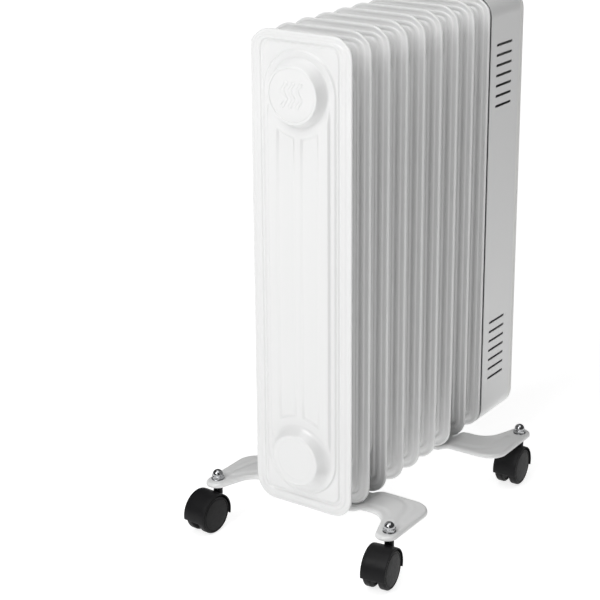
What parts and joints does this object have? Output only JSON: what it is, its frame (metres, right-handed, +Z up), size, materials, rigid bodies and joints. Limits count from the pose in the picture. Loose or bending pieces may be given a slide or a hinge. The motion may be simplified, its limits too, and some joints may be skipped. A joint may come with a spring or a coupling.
{
  "type": "oil filled radiator heater",
  "caption": "Free-standing oil filled column radiator on twin-wheel casters, with pressed steel fins in a row and a thermostat and switches at one end.",
  "frame": {"origin": "on the floor, under the middle of the object's box", "axes": "+X along the stack of fins towards the control end, +Y across the fins, +Z up"},
  "size_m": [0.4592, 0.2684, 0.58],
  "materials": {
    "painted_steel": "gloss white baked enamel",
    "zinc_steel": "bright zinc plating",
    "chrome": "polished",
    "bright_steel": "plain drawn steel",
    "black_plastic": "satin moulded",
    "black_tread": "satin moulded nylon",
    "white_plastic": "fine moulded",
    "dark_plastic": "moulded",
    "rocker_plastic": "gloss moulded",
    "amber_lens": "clear amber"
  },
  "bodies": {
    "radiator": {"carry_handle": "white_plastic", "control_fascia": "white_plastic", "control_housing": "painted_steel", "cord_gland": "dark_plastic", "cord_hooks": "white_plastic", "cutout_clip": "zinc_steel", "dome_nuts": "chrome", "element_flange": "bright_steel", "fascia_pillars": "zinc_steel", "fascia_screws": "zinc_steel", "filler_plug": "bright_steel", "fin_1": "painted_steel", "fin_2": "painted_steel", "fin_3": "painted_steel", "fin_4": "painted_steel", "fin_5": "painted_steel", "fin_6": "painted_steel", "fin_7": "painted_steel", "fin_8": "painted_steel", "fin_9": "painted_steel", "front_foot_hook": "zinc_steel", "front_foot_plate": "painted_steel", "front_left_caster_stem": "bright_steel", "front_right_caster_stem": "bright_steel", "handle_screws": "zinc_steel", "heating_element_1": "bright_steel", "heating_element_2": "bright_steel", "mounting_plate": "zinc_steel", "nut_washers": "chrome", "pilot_lens": "amber_lens", "rear_foot_hook": "zinc_steel", "rear_foot_plate": "painted_steel", "rear_left_caster_stem": "bright_steel", "rear_right_caster_stem": "bright_steel", "switch_body_1": "dark_plastic", "switch_body_2": "dark_plastic", "terminal_block": "dark_plastic", "thermal_cutout": "bright_steel", "thermostat_body": "dark_plastic", "wing_nuts": "zinc_steel"},
    "front_left_caster": {"front_left_caster_hood": "black_plastic", "front_left_caster_axle": "bright_steel"},
    "front_left_inner_wheel": {"front_left_inner_wheel": "black_tread"},
    "front_left_outer_wheel": {"front_left_outer_wheel": "black_tread"},
    "front_right_caster": {"front_right_caster_hood": "black_plastic", "front_right_caster_axle": "bright_steel"},
    "front_right_inner_wheel": {"front_right_inner_wheel": "black_tread"},
    "front_right_outer_wheel": {"front_right_outer_wheel": "black_tread"},
    "rear_left_caster": {"rear_left_caster_hood": "black_plastic", "rear_left_caster_axle": "bright_steel"},
    "rear_left_inner_wheel": {"rear_left_inner_wheel": "black_tread"},
    "rear_left_outer_wheel": {"rear_left_outer_wheel": "black_tread"},
    "rear_right_caster": {"rear_right_caster_hood": "black_plastic", "rear_right_caster_axle": "bright_steel"},
    "rear_right_inner_wheel": {"rear_right_inner_wheel": "black_tread"},
    "rear_right_outer_wheel": {"rear_right_outer_wheel": "black_tread"},
    "thermostat_dial": {"thermostat_knob": "white_plastic", "thermostat_shaft": "bright_steel"},
    "rocker_1": {"power_rocker_1": "rocker_plastic"},
    "rocker_2": {"power_rocker_2": "rocker_plastic"}
  },
  "joints": [
    {"name": "front_left_swivel", "type": "hinge", "parent": "radiator", "child": "front_left_caster", "pos_m": [-0.18482, 0.1145, 0.04], "axis": [0, 0, 1], "continuous": true},
    {"name": "front_left_inner_wheel_spin", "type": "hinge", "parent": "front_left_caster", "child": "front_left_inner_wheel", "pos_m": [-0.20368, 0.11569, 0.022], "axis": [0.0628, 0.998, 0], "continuous": true},
    {"name": "front_left_outer_wheel_spin", "type": "hinge", "parent": "front_left_caster", "child": "front_left_outer_wheel", "pos_m": [-0.20368, 0.11569, 0.022], "axis": [0.0628, 0.998, 0], "continuous": true},
    {"name": "front_right_swivel", "type": "hinge", "parent": "radiator", "child": "front_right_caster", "pos_m": [-0.18482, -0.1145, 0.04], "axis": [0, 0, 1], "continuous": true},
    {"name": "front_right_inner_wheel_spin", "type": "hinge", "parent": "front_right_caster", "child": "front_right_inner_wheel", "pos_m": [-0.20357, -0.11687, 0.022], "axis": [-0.1253, 0.9921, 0], "continuous": true},
    {"name": "front_right_outer_wheel_spin", "type": "hinge", "parent": "front_right_caster", "child": "front_right_outer_wheel", "pos_m": [-0.20357, -0.11687, 0.022], "axis": [-0.1253, 0.9921, 0], "continuous": true},
    {"name": "rear_left_swivel", "type": "hinge", "parent": "radiator", "child": "rear_left_caster", "pos_m": [0.11278, 0.1145, 0.04], "axis": [0, 0, 1], "continuous": true},
    {"name": "rear_left_inner_wheel_spin", "type": "hinge", "parent": "rear_left_caster", "child": "rear_left_inner_wheel", "pos_m": [0.09403, 0.11687, 0.022], "axis": [0.1253, 0.9921, 0], "continuous": true},
    {"name": "rear_left_outer_wheel_spin", "type": "hinge", "parent": "rear_left_caster", "child": "rear_left_outer_wheel", "pos_m": [0.09403, 0.11687, 0.022], "axis": [0.1253, 0.9921, 0], "continuous": true},
    {"name": "rear_right_swivel", "type": "hinge", "parent": "radiator", "child": "rear_right_caster", "pos_m": [0.11278, -0.1145, 0.04], "axis": [0, 0, 1], "continuous": true},
    {"name": "rear_right_inner_wheel_spin", "type": "hinge", "parent": "rear_right_caster", "child": "rear_right_inner_wheel", "pos_m": [0.09392, -0.11569, 0.022], "axis": [-0.0628, 0.998, 0], "continuous": true},
    {"name": "rear_right_outer_wheel_spin", "type": "hinge", "parent": "rear_right_caster", "child": "rear_right_outer_wheel", "pos_m": [0.09392, -0.11569, 0.022], "axis": [-0.0628, 0.998, 0], "continuous": true},
    {"name": "thermostat_turn", "type": "hinge", "parent": "radiator", "child": "thermostat_dial", "pos_m": [0.19158, 0, 0.536], "axis": [1, 0, 0], "range_deg": [-270, 0]},
    {"name": "power_rocker_1_tip", "type": "hinge", "parent": "radiator", "child": "rocker_1", "pos_m": [0.19058, 0.015, 0.47], "axis": [0, 1, 0], "range_deg": [-14, 0]},
    {"name": "power_rocker_2_tip", "type": "hinge", "parent": "radiator", "child": "rocker_2", "pos_m": [0.19058, -0.015, 0.47], "axis": [0, 1, 0], "range_deg": [-14, 0]}
  ]
}
